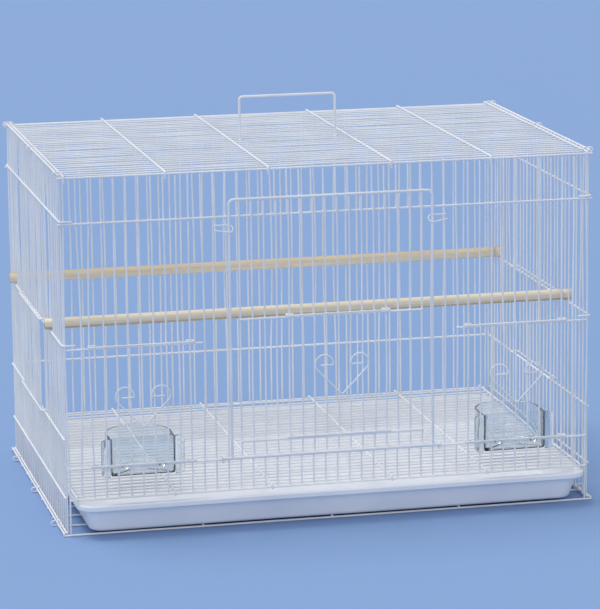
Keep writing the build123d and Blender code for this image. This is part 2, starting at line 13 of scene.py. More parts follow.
import bpy
import numpy as np
from mathutils import Matrix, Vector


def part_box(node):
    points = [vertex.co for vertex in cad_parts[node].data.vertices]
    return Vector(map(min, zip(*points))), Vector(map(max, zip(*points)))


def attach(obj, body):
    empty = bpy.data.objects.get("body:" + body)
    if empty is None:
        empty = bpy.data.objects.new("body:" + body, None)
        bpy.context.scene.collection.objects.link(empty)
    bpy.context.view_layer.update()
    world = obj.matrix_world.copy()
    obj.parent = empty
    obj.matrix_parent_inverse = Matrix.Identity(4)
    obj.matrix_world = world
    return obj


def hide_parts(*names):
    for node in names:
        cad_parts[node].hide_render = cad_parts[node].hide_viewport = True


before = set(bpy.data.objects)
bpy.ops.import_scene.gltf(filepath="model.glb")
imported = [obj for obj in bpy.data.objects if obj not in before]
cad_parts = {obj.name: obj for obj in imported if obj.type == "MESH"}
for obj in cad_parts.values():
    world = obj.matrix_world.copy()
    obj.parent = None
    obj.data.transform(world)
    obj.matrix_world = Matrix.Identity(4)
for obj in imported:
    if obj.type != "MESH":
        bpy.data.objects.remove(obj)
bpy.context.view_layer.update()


def corners(node):
    """Lowest and highest corner of a node of the frame, in millimetres."""
    low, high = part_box(node)
    return np.array(low) * 1000, np.array(high) * 1000


# %% [markdown]
# ## The camera
#
# The photograph was taken from the left and a little above, from far away with a long lens, which
# is why the cage's edges hardly converge. The camera's place and turn were fitted to the corners
# and rails of the wire grid, whose real spacing is known, so no zoom or shift is needed.

# %% Camera
image_height = 609
focal_pixels = 3278.16
sensor_mm = 36.0
camera_mm = np.array([-837.56, -3724.97, 990.57])
yaw, pitch, roll = np.radians([12.8497, 11.5855, -0.6484])

ahead = np.array([np.sin(yaw) * np.cos(pitch), np.cos(yaw) * np.cos(pitch), -np.sin(pitch)])
level_right = np.array([np.cos(yaw), -np.sin(yaw), 0.0])
level_up = np.cross(level_right, ahead)
right = np.cos(roll) * level_right + np.sin(roll) * level_up
up = np.cos(roll) * level_up - np.sin(roll) * level_right

lens = bpy.data.cameras.new("long_lens")
lens.sensor_width = sensor_mm
lens.lens = focal_pixels / image_height * sensor_mm
lens.clip_end = 200.0
camera = bpy.data.objects.new("camera", lens)
bpy.context.scene.collection.objects.link(camera)
camera.matrix_world = Matrix(
    [(*row, place / 1000) for row, place in zip(np.stack([right, up, -ahead], axis=1), camera_mm)]
    + [(0, 0, 0, 1)]
)
bpy.context.scene.camera = camera
print("lens", round(lens.lens, 1), "mm")

# %% [markdown]
# ## Colour and nodes
#
# Colours are written as sRGB hex values, as a paint card gives them, and one function turns them
# to the linear values that the shader adds and multiplies. A second small function adds a node
# with its settings and links, so that a material reads as a list of steps.

# %% Colour and node helpers
def paint(hex_value):
    """Linear colour of an sRGB hex value: a straight line at the low end, then a power of 2.4."""
    share = np.array([int(hex_value[i:i + 2], 16) for i in (1, 3, 5)]) / 255
    linear = np.where(share <= 0.04045, share / 12.92, ((share + 0.055) / 1.055) ** 2.4)
    return (*linear.tolist(), 1.0)


def node(tree, kind, settings=None, **inputs):
    """Adds a node. Settings are its own properties; inputs are values, or sockets to link from."""
    made = tree.nodes.new("ShaderNode" + kind)
    for key, value in (settings or {}).items():
        setattr(made, key, value)
    for key, value in inputs.items():
        socket = made.inputs[key.replace("_", " ")]
        if isinstance(value, bpy.types.NodeSocket):
            tree.links.new(value, socket)
        else:
            socket.default_value = value
    return made


def material(name):
    """An empty material, and its node tree, shader and Object coordinates."""
    made = bpy.data.materials.new(name)
    made.use_nodes = True
    tree = made.node_tree
    place = node(tree, "TexCoord").outputs["Object"]
    return made, tree, tree.nodes["Principled BSDF"], place


def two_tones(tree, factor, low, high, start=0.3, end=0.7):
    """A colour ramp from one hex colour to another between two values of the factor."""
    ramp = node(tree, "ValToRGB", Fac=factor)
    ramp.color_ramp.elements[0].position = start
    ramp.color_ramp.elements[1].position = end
    ramp.color_ramp.elements[0].color = paint(low)
    ramp.color_ramp.elements[1].color = paint(high)
    return ramp.outputs["Color"]


def multiplied(tree, share, first, second):
    """The first colour, darkened by a share of the second."""
    mix = node(tree, "Mix", {"data_type": "RGBA", "blend_type": "MULTIPLY"}, A=first, B=second)
    mix.inputs["Factor"].default_value = share
    return mix.outputs["Result"]


# %% [markdown]
# ## White coated wire
#
# The wire is mild steel, welded and then powder coated in white epoxy. Powder flows into a
# smooth, half-gloss skin that is a little thicker at the welds and slightly rippled between them,
# called orange peel. The eye sees an even white with soft highlights along each wire. The peel is
# a few tenths of a millimetre across, which no pixel shows, so it is drawn at 3 mm. The colour
# varies by a few percent where handling has greyed it.

# %% Powder-coated steel
coat, tree, shader, place = material("powder_coated_steel")
handling = node(tree, "TexNoise", Vector=place, Scale=22.0, Detail=3.0).outputs["Fac"]
peel = node(tree, "TexNoise", Vector=place, Scale=330.0, Detail=2.0).outputs["Fac"]
tree.links.new(two_tones(tree, handling, "#E4E6E9", "#F2F3F5"), shader.inputs["Base Color"])
shader.inputs["Roughness"].default_value = 0.33
shader.inputs["IOR"].default_value = 1.5
relief = node(tree, "Bump", Height=peel, Strength=0.25, Distance=0.0002)
tree.links.new(relief.outputs["Normal"], shader.inputs["Normal"])

# %% [markdown]
# ## Perch wood
#
# The perches are turned pine dowels, sanded and left bare. Pine shows growth rings a few
# millimetres apart, which a dowel cuts into long streaks, a fine straight fibre and here and
# there a small knot. The rings are the distance from a pith that lies outside the dowel, so the
# streaks on its side and the arcs on its end belong together. A pixel is over a millimetre wide,
# so they are drawn six times as wide as real ones. The ring pattern repeats every 2 pi / 20 of
# its own length, which gives its scale. Bare wood is dull.

# %% Sanded pine
pine, tree, shader, place = material("sanded_pine")
ring_spacing, drawn_wider = 3.2, 6.1685172
pith_offset = (0.0, 0.021, -0.034)
drift = node(tree, "Mapping", Vector=place, Scale=(2.2, 30.0, 30.0))
wander = node(tree, "TexNoise", Vector=drift.outputs["Vector"], Scale=1.0, Detail=2.0)
bent = node(tree, "VectorMath", {"operation": "MULTIPLY_ADD"})
tree.links.new(wander.outputs["Color"], bent.inputs[0])
bent.inputs[1].default_value = (0.0, 0.006, 0.006)
tree.links.new(place, bent.inputs[2])
flat = node(
    tree, "Mapping", Vector=bent.outputs["Vector"], Location=pith_offset, Scale=(0.02, 1, 1)
)
growth = node(
    tree, "TexWave", {"wave_type": "RINGS", "rings_direction": "X", "wave_profile": "SAW"},
    Vector=flat.outputs["Vector"], Scale=100 * np.pi / (ring_spacing * drawn_wider),
    Distortion=1.2, Detail=2.0,
).outputs["Fac"]
strand = node(tree, "Mapping", Vector=place, Scale=(14.0, 900.0, 900.0))
grain = strand.outputs["Vector"]
fibre = node(tree, "TexNoise", Vector=grain, Scale=1.0, Detail=3.0).outputs["Fac"]
streaks = two_tones(tree, growth, "#F0E6D2", "#D3BD99", 0.35, 0.95)
fibres = two_tones(tree, fibre, "#E2D2B4", "#FFFBF2", 0.3, 0.7)
knots = node(tree, "TexVoronoi", Vector=place, Scale=13.0).outputs["Distance"]
dark = two_tones(tree, knots, "#A98152", "#FFFFFF", 0.02, 0.12)
wood = multiplied(tree, 0.55, streaks, fibres)
tree.links.new(multiplied(tree, 0.8, wood, dark), shader.inputs["Base Color"])
shader.inputs["Roughness"].default_value = 0.62
shader.inputs["IOR"].default_value = 1.5
relief = node(tree, "Bump", Height=fibre, Strength=0.35, Distance=0.0003)
tree.links.new(relief.outputs["Normal"], shader.inputs["Normal"])

# %% [markdown]
# ## Tray plastic and cup plastic
#
# The tray is white polypropylene, injection moulded. Light goes a millimetre or two into it, so
# its shadows are soft and it looks like milk, and the mould leaves a faint ripple. The cups are
# clear polystyrene. It bends light more than window glass does, so an edge seen along the wall
# turns dark. Its face is polished by the mould, with faint greyish patches where water has dried.

# %% Moulded polypropylene and clear polystyrene
tray_plastic, tree, shader, place = material("moulded_polypropylene")
flow = node(tree, "TexNoise", Vector=place, Scale=9.0, Detail=2.0).outputs["Fac"]
grain = node(tree, "TexNoise", Vector=place, Scale=900.0, Detail=1.0).outputs["Fac"]
tree.links.new(two_tones(tree, flow, "#E4E8F0", "#EFF2F7"), shader.inputs["Base Color"])
shader.inputs["Roughness"].default_value = 0.38
shader.inputs["IOR"].default_value = 1.49
shader.inputs["Subsurface Weight"].default_value = 0.25
shader.inputs["Subsurface Radius"].default_value = (1.0, 0.9, 0.8)
shader.inputs["Subsurface Scale"].default_value = 0.002
relief = node(tree, "Bump", Height=grain, Strength=0.2, Distance=0.0001)
tree.links.new(relief.outputs["Normal"], shader.inputs["Normal"])

clear, tree, shader, place = material("clear_polystyrene")
wear = node(tree, "TexNoise", Vector=place, Scale=60.0, Detail=3.0).outputs["Fac"]
tree.links.new(two_tones(tree, wear, "#EEF4F7", "#F9FBFC"), shader.inputs["Base Color"])
shader.inputs["Roughness"].default_value = 0.0
shader.inputs["IOR"].default_value = 1.59
shader.inputs["Transmission Weight"].default_value = 1.0

# %% [markdown]
# ## Meshes from arrays
#
# Blender takes a mesh quickly as flat arrays: every point, then every face's corners one after
# the other. One function joins any number of parts into one object, puts it on its body and hides
# the node of the frame that it stands for.

# %% Join arrays into a piece
def piece(name, parts, finish, body, slot, *stands_for):
    """Makes one object from parts. A part is points in mm, four-cornered faces and triangles."""
    points, quads, tris, first = [], [], [], 0
    for part_points, part_quads, part_tris in parts:
        points.append(part_points.reshape(-1, 3))
        quads.append(part_quads.reshape(-1, 4) + first)
        tris.append(part_tris.reshape(-1, 3) + first)
        first += len(points[-1])
    points = np.concatenate(points) / 1000
    quads, tris = np.concatenate(quads), np.concatenate(tris)
    mesh = bpy.data.meshes.new(name)
    mesh.vertices.add(len(points))
    mesh.vertices.foreach_set("co", points.ravel())
    mesh.loops.add(quads.size + tris.size)
    mesh.loops.foreach_set("vertex_index", np.concatenate([quads.ravel(), tris.ravel()]))
    mesh.polygons.add(len(quads) + len(tris))
    starts = np.concatenate(
        [np.arange(len(quads)) * 4, quads.size + np.arange(len(tris)) * 3]
    )
    mesh.polygons.foreach_set("loop_start", starts)
    mesh.update(calc_edges=True)
    mesh.validate()
    mesh.shade_smooth()
    mesh.materials.append(finish)
    made = bpy.data.objects.new(name, mesh)
    bpy.context.scene.collection.objects.link(made)
    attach(made, body)
    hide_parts(*stands_for)
    print(name, len(quads) * 2 + len(tris), "triangles")


# %% [markdown]
# ## Faces of a closed solid
#
# Wires, weld beads, dowels and moulded shells are all rings of points closed by a point at each
# end. So one function numbers the corners of their faces, for any number of like solids at once.

# %% Faces between rings
def closed_faces(count, rings, sides):
    """Faces of count solids, whose points are their rings and then the middles of the first and
    the last: four-cornered faces between the rings, and a fan of triangles at each end."""
    base = (np.arange(count) * (rings * sides + 2))[:, None, None]
    row = (np.arange(rings - 1) * sides)[None, :, None]
    col = np.arange(sides)[None, None]
    following = (col + 1) % sides
    corners_of_quads = (
        base + row + col, base + row + following,
        base + row + sides + following, base + row + sides + col,
    )
    quads = np.stack(np.broadcast_arrays(*corners_of_quads), axis=-1)
    first, last = base[:, 0], base[:, 0] + (rings - 1) * sides
    pole = base[:, 0] + rings * sides
    start = np.broadcast_arrays(pole, first + following[0], first + col[0])
    end = np.broadcast_arrays(pole + 1, last + col[0], last + following[0])
    return quads, np.concatenate([np.stack(start, axis=-1), np.stack(end, axis=-1)])


# %% [markdown]
# ## A wire along a path
#
# Curve objects with a bevel would do for a few wires, but there are hundreds, so each family of
# like wires is one array: wire, station along it, x y z. A circle is carried along every path at
# once. Its frame is passed on from station to station without twist, and the cut ends are domed,
# as a coating leaves them.

# %% Carry a circle along many paths
wire_sides = 10
dome_turns = np.radians([30, 60, 90])


def unit(vectors):
    """Vectors divided by their own length."""
    return vectors / np.linalg.norm(vectors, axis=-1, keepdims=True)


def wires(paths, thickness, sides=wire_sides):
    """Round wires along paths[wire, station]. A point is the path's, plus radius times
    (cos a * side + sin a * other), where side and other stay square to the path."""
    paths = np.reshape(paths, (-1, *np.shape(paths)[-2:]))
    radius = thickness / 2
    dome = radius * 0.6
    head = unit(paths[:, 1] - paths[:, 0])[:, None]
    tail = unit(paths[:, -1] - paths[:, -2])[:, None]
    depth = (dome * (1 - np.cos(dome_turns)))[None, :, None]
    first, last = paths[:, :1] + head * depth, paths[:, -1:] - tail * depth[:, ::-1]
    rings = np.concatenate([first, paths[:, 1:-1], last], axis=1)
    count, stations = rings.shape[:2]
    width = np.full(stations, radius)
    width[:len(dome_turns)] = radius * np.sin(dome_turns)
    width[-len(dome_turns):] = radius * np.sin(dome_turns[::-1])
    along = unit(np.gradient(rings, axis=1))
    side = np.empty_like(rings)
    lean = np.where(np.abs(along[:, 0, 2:3]) < 0.8, [[0.0, 0.0, 1.0]], [[1.0, 0.0, 0.0]])
    side[:, 0] = unit(np.cross(lean, along[:, 0]))
    for station in range(1, stations):
        kept = side[:, station - 1]
        drop = np.sum(kept * along[:, station], axis=1, keepdims=True)
        side[:, station] = unit(kept - drop * along[:, station])
    other = np.cross(along, side)
    angle = np.arange(sides) * 2 * np.pi / sides
    round_part = (
        side[:, :, None] * np.cos(angle)[:, None] + other[:, :, None] * np.sin(angle)[:, None]
    )
    ring_points = rings[:, :, None] + round_part * width[:, None, None]
    points = np.concatenate(
        [ring_points.reshape(count, -1, 3), paths[:, :1], paths[:, -1:]], axis=1
    )
    return points, *closed_faces(count, stations, sides)


# %% [markdown]
# ## Straight runs, and how they bow
#
# A grid's wires are straightened from a coil, and they never come out quite straight. Between two
# welds each one bows by a few tenths of a millimetre, and the long spans bow more. That small
# unevenness is what tells the eye that a grid is wire and not a printed pattern.

# %% Straight wires and their bow
bow_at_100 = 0.22
station_spacing = 12.0
chance = np.random.default_rng(24)


def straight(along, spots, start, end):
    """Paths side by side along one axis, at spots given by their two other coordinates."""
    stations = max(4, int((end - start) / station_spacing))
    spots = np.asarray(spots, float).reshape(-1, 2)
    paths = np.empty((len(spots), stations, 3))
    across = [axis for axis in range(3) if axis != along]
    paths[..., along] = np.linspace(start, end, stations)
    paths[..., across] = spots[:, None]
    return paths


def bowed(paths, along, welds, still=()):
    """Between two welds a wire is half a sine wave out of line. Its height is a random share of
    bow_at_100, times the span over 100 mm, squared. Wires at the places in still are straight,
    because something slides or hangs on them."""
    spread = next(axis for axis in range(3) if np.ptp(paths[:, 0, axis]) > 0 or axis == 2)
    stops = np.sort(welds)
    phase = np.interp(paths[..., along], stops, np.arange(len(stops)))
    span = np.minimum(phase.astype(int), len(stops) - 2)
    height = bow_at_100 * (np.diff(stops)[span] / 100) ** 2
    wave = np.sin(np.pi * (phase - span)) * height
    share = chance.normal(0, 1, (len(paths), len(stops) - 1, 2)).clip(-2, 2)
    share[np.isin(paths[:, 0, spread], still)] = 0
    moved = paths.copy()
    number = np.arange(len(paths))[:, None]
    for slot, axis in enumerate(axis for axis in range(3) if axis != along):
        moved[..., axis] += wave * share[number, span, slot]
    return moved


def pairs(first, second):
    """Every pair of a value from the first list and one from the second."""
    return np.stack(np.meshgrid(first, second, indexing="ij"), axis=-1).reshape(-1, 2)


# %% [markdown]
# ## Bent wires
#
# A wire is bent round a pin, so a bend is an arc between two straight stretches. The arc's points
# are blended from its two ends as seen from its centre, which works for any turn in any plane.

# %% Bends
def bend(points, radius, steps=6):
    """A path through points, with an arc of one radius at each inner point. The arc starts
    radius * tan(turn / 2) before its point."""
    points = np.asarray(points, float)
    path = [points[:1]]
    for before, at, after in zip(points, points[1:], points[2:]):
        come, go = unit(at - before), unit(after - at)
        turn = np.arccos(np.clip(come @ go, -1, 1))
        reach = radius * np.tan(turn / 2)
        middle = at + unit(go - come) * radius / np.cos(turn / 2)
        share = np.linspace(0, 1, steps + 1)[:, None]
        start, end = at - come * reach - middle, at + go * reach - middle
        arc = (np.sin((1 - share) * turn) * start + np.sin(share * turn) * end) / np.sin(turn)
        path.append(middle + arc)
    path.append(points[-1:])
    return np.concatenate(path)


def mirrored(path):
    """The same path on the other side of the plane x = 0."""
    return path * [-1, 1, 1]


def turned(centre, start, turn, axis=0, steps=18):
    """An arc round an axis through a centre, from a start offset. Each point is the start offset
    turned by its share of the angle."""
    angle = np.radians(turn) * np.linspace(0, 1, steps + 1)[:, None]
    direction = np.eye(3)[axis]
    square = np.cross(direction, start)
    return centre + np.cos(angle) * np.asarray(start) + np.sin(angle) * square


# %% [markdown]
# ## Welds
#
# Where two wires cross, the weld has sunk one a little into the other, and the coating has pooled
# in the corner. A small ball at each crossing, hardly wider than the wire, gives that fillet. A
# ball is a grid of rings and is only a few dozen faces, because there are over a thousand.

# %% Weld beads
bead_rings = np.radians([45, 90, 135])
bead_sides = 8


def beads(places, size):
    """Small balls at places: rings at three latitudes, and a pole at each end."""
    places = np.asarray(places, float).reshape(-1, 1, 1, 3)
    angle = np.arange(bead_sides) * 2 * np.pi / bead_sides
    shell = np.stack(
        np.broadcast_arrays(
            np.sin(bead_rings)[:, None] * np.cos(angle),
            np.sin(bead_rings)[:, None] * np.sin(angle),
            -np.cos(bead_rings)[:, None],
        ),
        axis=-1,
    )
    rings = places + shell * size / 2
    count = len(places)
    foot = places[:, 0] - [0, 0, size / 2]
    crown = places[:, 0] + [0, 0, size / 2]
    points = np.concatenate([rings.reshape(count, -1, 3), foot, crown], axis=1)
    return points, *closed_faces(count, len(bead_rings), bead_sides)


def crossings(first, second, depth_axis, depth):
    """Places where two families of wires cross, on a plane square to the depth axis."""
    spots = pairs(first, second)
    places = np.empty((len(spots), 3))
    across = [axis for axis in range(3) if axis != depth_axis]
    places[:, across] = spots
    places[:, depth_axis] = depth
    return places


# %% [markdown]
# ## Sizes of the grids
#
# One spacing runs through the whole cage. The planes come from the frame: a panel's bars lie
# behind its rails, and each welded pair is a little closer than its two radii.

# %% Wire sizes and planes
bar_wire, rail_wire, door_wire = 2.0, 2.4, 3.0
slider_wire, ring_wire, clip_wire, heart_wire = 2.0, 1.6, 1.6, 1.8
weld_sink, loose_fit = 0.4, 0.3
pitch = 14.0
bead_size = 2.5


def evenly(count):
    """Places one pitch apart, spread evenly about zero."""
    return (np.arange(count) - (count - 1) / 2) * pitch


def apart(wire_a, wire_b):
    """Distance between the centres of two welded wires."""
    return (wire_a + wire_b) / 2 - weld_sink


front_low, front_high = corners("front_panel")
side_low, side_high = corners("right_panel")
front_x, side_y, top_y = evenly(44), evenly(30), evenly(29)
front_rail_y = front_low[1] + rail_wire / 2
front_y = front_high[1] - bar_wire / 2
side_rail_x = side_high[0] - rail_wire / 2
side_x = side_rail_x - apart(bar_wire, rail_wire)
weld_front = (front_y + front_rail_y) / 2
weld_side = (side_x + side_rail_x) / 2
print("bars in the plane", round(front_y, 2), "rails in", round(front_rail_y, 2))

# %% [markdown]
# ## Front and rear panels
#
# The front panel's bars stop short where a door opens. So it is four families: whole bars, the
# short bars under the sill, those over the feeder doors and those over the main door. The rear
# panel is a plain grid that closes the cage down to a foot rail.

# %% Front panel
low_z, sill_z, guide_z, upper_z = 41.7, 77.5, 214.0, 355.5
bar_foot, bar_top = low_z - rail_wire / 2, front_high[2]
top_z = bar_top - rail_wire / 2
feeder_x = np.mean([corners("right_feeder_door")[side][0] for side in (0, 1)])
feeder_half, door_half = 4 * pitch, 8.5 * pitch
in_feeder = np.abs(np.abs(front_x) - feeder_x) < feeder_half - 1
in_door = np.abs(front_x) < door_half - 1
corner = np.abs(front_x) == front_x.max()
whole = ~(in_feeder | in_door | corner)


def uprights(places, plane_y, start, end, welds):
    """Upright bars in a plane, bowed between the rails that they are welded to."""
    spots = pairs(places, [plane_y])
    return wires(bowed(straight(2, spots, start, end), 2, welds), bar_wire)


def level(plane_y, z, start, end):
    """One rail of a panel, bowed between the bars that are welded to it."""
    return wires(bowed(straight(0, [(plane_y, z)], start, end), 0, front_x), rail_wire)


rail_end = front_x.max() + bar_wire / 2
long_rail_end = front_high[0]
guide_start = feeder_x - feeder_half - pitch
front_parts = [
    uprights(front_x[corner], front_y, front_low[2], bar_top, [low_z, sill_z, upper_z, top_z]),
    uprights(front_x[whole], front_y, bar_foot, bar_top, [low_z, sill_z, upper_z, top_z]),
    uprights(front_x[in_feeder | in_door], front_y, bar_foot, sill_z + rail_wire / 2,
             [low_z, sill_z]),
    uprights(front_x[in_feeder], front_y, guide_z - rail_wire / 2, bar_top,
             [guide_z, upper_z, top_z]),
    uprights(front_x[in_door], front_y, upper_z - rail_wire / 2, bar_top, [upper_z, top_z]),
    level(front_rail_y, low_z, -rail_end, rail_end),
    level(front_rail_y, sill_z, -rail_end, rail_end),
    level(front_rail_y, upper_z, -long_rail_end, long_rail_end),
    level(front_rail_y, top_z, -long_rail_end, long_rail_end),
    level(front_rail_y, guide_z, guide_start, rail_end),
    level(front_rail_y, guide_z, -rail_end, -guide_start),
    beads(crossings(front_x, [low_z, sill_z, upper_z, top_z], 1, weld_front), bead_size),
    beads(
        crossings(front_x[np.abs(front_x) > guide_start], [guide_z], 1, weld_front), bead_size
    ),
]
piece("front_grid", front_parts, coat, "cage", "coated_wire", "front_panel")

# %% Rear panel
rear_low, rear_high = corners("rear_panel")
rear_foot_z, rear_sill_z = 8.0, 111.0
rear_y, rear_rail_y = rear_low[1] + bar_wire / 2, rear_high[1] - rail_wire / 2
rear_rails = [rear_foot_z, low_z, rear_sill_z, upper_z, top_z]
rear_parts = [
    uprights(front_x[corner], rear_y, rear_low[2], bar_top, rear_rails),
    uprights(front_x[~corner], rear_y, rear_foot_z - rail_wire / 2, bar_top, rear_rails),
    *[level(rear_rail_y, z, -rail_end, rail_end) for z in rear_rails[:3]],
    *[level(rear_rail_y, z, -long_rail_end, long_rail_end) for z in rear_rails[3:]],
    beads(crossings(front_x, rear_rails, 1, (rear_y + rear_rail_y) / 2), bead_size),
]
piece("rear_grid", rear_parts, coat, "cage", "coated_wire", "rear_panel")

# %% [markdown]
# ## Side panels
#
# Two of a side panel's rails end in hooks, which are pushed over the front and rear panels' rails
# and round their corner bars. They are what holds the box square. The left panel is the right one
# seen in a mirror, but its wires bow in their own way.

# %% Side panels
side_foot_z, side_low_z, side_sill_z, side_guide_z = 3.9, 44.0, 111.0, 219.0
hook_clear, side_overrun = 0.4, 2.0
side_hook_z = upper_z + rail_wire + hook_clear
side_top_z = side_high[2] - rail_wire / 2
hook_bend = 2.5
nest_y = np.mean([corners("right_side_door")[side][1] for side in (0, 1)])
nest_half = 5.5 * pitch
in_nest = np.abs(side_y - nest_y) < nest_half - 1
side_rail_end = side_y.max() + side_overrun
side_hook_y = side_low[1] + rail_wire / 2
side_hook_x = side_low[0]
perch_y = [np.mean([point[1] for point in corners(end + "_perch")]) for end in ("front", "rear")]
kept_straight = np.round([nest_y - nest_half, nest_y + nest_half, *perch_y])


def side_bars(places, start, end, welds):
    """Upright bars of the right side panel. Those that carry a door or a perch are straight."""
    return bowed(straight(2, pairs([side_x], places), start, end), 2, welds, kept_straight)


def hooked_rail(z):
    """A side rail whose two ends turn inward round the corner bars."""
    return bend(
        [
            (side_hook_x, side_hook_y, z),
            (side_rail_x, side_hook_y, z),
            (side_rail_x, -side_hook_y, z),
            (side_hook_x, -side_hook_y, z),
        ],
        hook_bend,
    )


plain_side_rails = [side_foot_z, side_low_z, side_sill_z, side_top_z]
for label, flip in (("right", 1), ("left", -1)):
    outward = np.array([flip, 1, 1])
    paths = [
        side_bars(side_y[~in_nest], side_low[2], side_high[2], [*plain_side_rails, side_guide_z]),
        side_bars(side_y[in_nest], side_low[2], side_sill_z + rail_wire / 2, plain_side_rails[:3]),
        side_bars(side_y[in_nest], side_guide_z - rail_wire / 2, side_high[2],
                  [side_guide_z, side_hook_z, side_top_z]),
    ]
    rails = [
        bowed(straight(1, [(side_rail_x, z)], -side_rail_end, side_rail_end), 1, side_y)
        for z in plain_side_rails
    ]
    side_welds = crossings(side_y, [*plain_side_rails, side_guide_z, side_hook_z], 0, weld_side)
    parts = [wires(path * outward, bar_wire) for path in paths]
    parts += [wires(path * outward, rail_wire) for path in rails]
    parts += [wires(hooked_rail(z) * outward, rail_wire) for z in (side_guide_z, side_hook_z)]
    parts.append(beads(side_welds * outward, bead_size))
    piece(label + "_grid", parts, coat, "cage", "coated_wire", label + "_panel")

# %% [markdown]
# ## Top, grate and base
#
# The top and the floor grate are made alike: fine wires from side to side, and a few bolder wires
# over them from front to rear, whose ends are bent down over the panels' rails. The base is the
# grid that the cage stands on.

# %% Top panel
top_low, top_high = corners("top_panel")
end_bend = 2.0
top_cross_z = top_high[2] - rail_wire / 2
top_long_z = top_cross_z - apart(bar_wire, rail_wire)
top_edge_x = top_high[0] - rail_wire / 2
top_cross_x = np.array([-top_edge_x, -187.0, -70.5, 70.5, 187.0, top_edge_x])
hook_y = top_high[1] - rail_wire / 2


def over_rails(x, z, foot):
    """A cross wire whose two ends are bent down over the front and rear rails."""
    return bend(
        [(x, -hook_y, foot), (x, -hook_y, z), (x, hook_y, z), (x, hook_y, foot)], end_bend
    )


top_paths = bowed(
    straight(0, pairs(top_y, [top_long_z]), -top_high[0], top_high[0]), 0, top_cross_x, [0]
)
top_parts = [
    wires(top_paths, bar_wire),
    *[wires(over_rails(x, top_cross_z, top_low[2]), rail_wire) for x in top_cross_x],
    beads(crossings(top_cross_x, top_y, 2, (top_cross_z + top_long_z) / 2), bead_size),
]
piece("top_grid", top_parts, coat, "cage", "coated_wire", "top_panel")

# %% Floor grate
grate_low, grate_high = corners("floor_grate")
grate_cross_z = grate_high[2] - rail_wire / 2
grate_long_z = grate_cross_z - apart(bar_wire, rail_wire)
grate_end = grate_high[0]
grate_cross_x = np.array([-21, -13, -5, 5, 13, 21]) * pitch
grate_paths = bowed(
    straight(0, pairs(top_y, [grate_long_z]), -grate_end, grate_end), 0, grate_cross_x
)
grate_parts = [
    wires(grate_paths, bar_wire),
    *[wires(over_rails(x, grate_cross_z, grate_low[2]), rail_wire) for x in grate_cross_x],
    beads(crossings(grate_cross_x, top_y, 2, (grate_cross_z + grate_long_z) / 2), bead_size),
]
piece("grate_grid", grate_parts, coat, "floor_grate", "coated_wire", "floor_grate")

# %% Base panel
base_low, base_high = corners("base_panel")
base_long_z = base_low[2] + rail_wire / 2
base_cross_z = base_high[2] - rail_wire / 2
base_nub = 1.5
base_edge_x, base_edge_y = base_high[0] - base_nub, base_high[1] - base_nub
base_y = np.linspace(-base_edge_y, base_edge_y, 11)
base_x = np.array([-base_edge_x, -150.0, 0.0, 150.0, base_edge_x])
base_paths = bowed(
    straight(0, pairs(base_y, [base_long_z]), base_low[0], base_high[0]), 0, base_x
)
base_paths[..., 2] = np.maximum(base_paths[..., 2], base_long_z)  # the floor holds them up
base_parts = [
    wires(base_paths, rail_wire),
    wires(
        bowed(straight(1, pairs(base_x, [base_cross_z]), base_low[1], base_high[1]), 1, base_y),
        rail_wire,
    ),
    beads(crossings(base_x, base_y, 2, (base_long_z + base_cross_z) / 2), bead_size),
]
piece("base_grid", base_parts, coat, "cage", "coated_wire", "base_panel")

# %% [markdown]
# ## Hinge rings
#
# The side panels are joined to the top and the base by long wire links, squeezed shut round one
# wire of each. They are the hinges by which the cage folds flat for packing. A link is two
# straight sides and two half turns, and its two ends meet with a small gap, so it is still one
# wire with two ends.

# %% Hinge rings
ring_gap = 0.3


def link(low, high, y):
    """A long link in an upright plane, filling a box from low to high. Its ends nearly meet."""
    radius = (high[2] - low[2] - ring_wire) / 2
    left, right_end = low[0] + ring_wire / 2 + radius, high[0] - ring_wire / 2 - radius
    z = (low[2] + high[2]) / 2
    middle = (left + right_end) / 2
    start = np.array([[middle + ring_gap, y, z + radius]])
    far = turned(np.array([right_end, y, z]), (0, 0, radius), 180, axis=1, steps=10)
    near = turned(np.array([left, y, z]), (0, 0, -radius), 180, axis=1, steps=10)
    finish = np.array([[middle - ring_gap, y, z + radius]])
    return np.concatenate([start, far, near, finish])


def ring_places(name):
    """Middle of each ring along y, read from the frame's ring node."""
    y = np.array([vertex.co.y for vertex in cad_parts[name].data.vertices]) * 1000
    edges = np.sort(y)
    breaks = np.flatnonzero(np.diff(edges) > 3 * ring_wire)
    starts = np.concatenate([[0], breaks + 1])
    ends = np.concatenate([breaks, [len(edges) - 1]])
    return (edges[starts] + edges[ends]) / 2


for name in ("top_rings_right", "top_rings_left", "base_rings_right", "base_rings_left"):
    low, high = corners(name)
    parts = [wires(link(low, high, y), ring_wire) for y in ring_places(name)]
    piece(name + "_links", parts, coat, "cage", "coated_wire", name)

# %% [markdown]
# ## Main door
#
# The door's frame is one bold wire bent into an arch, with a foot wire whose ends curl back round
# the sill rail and make the hinge. Lighter bars and two rails fill it, with a gap for the inner
# door.

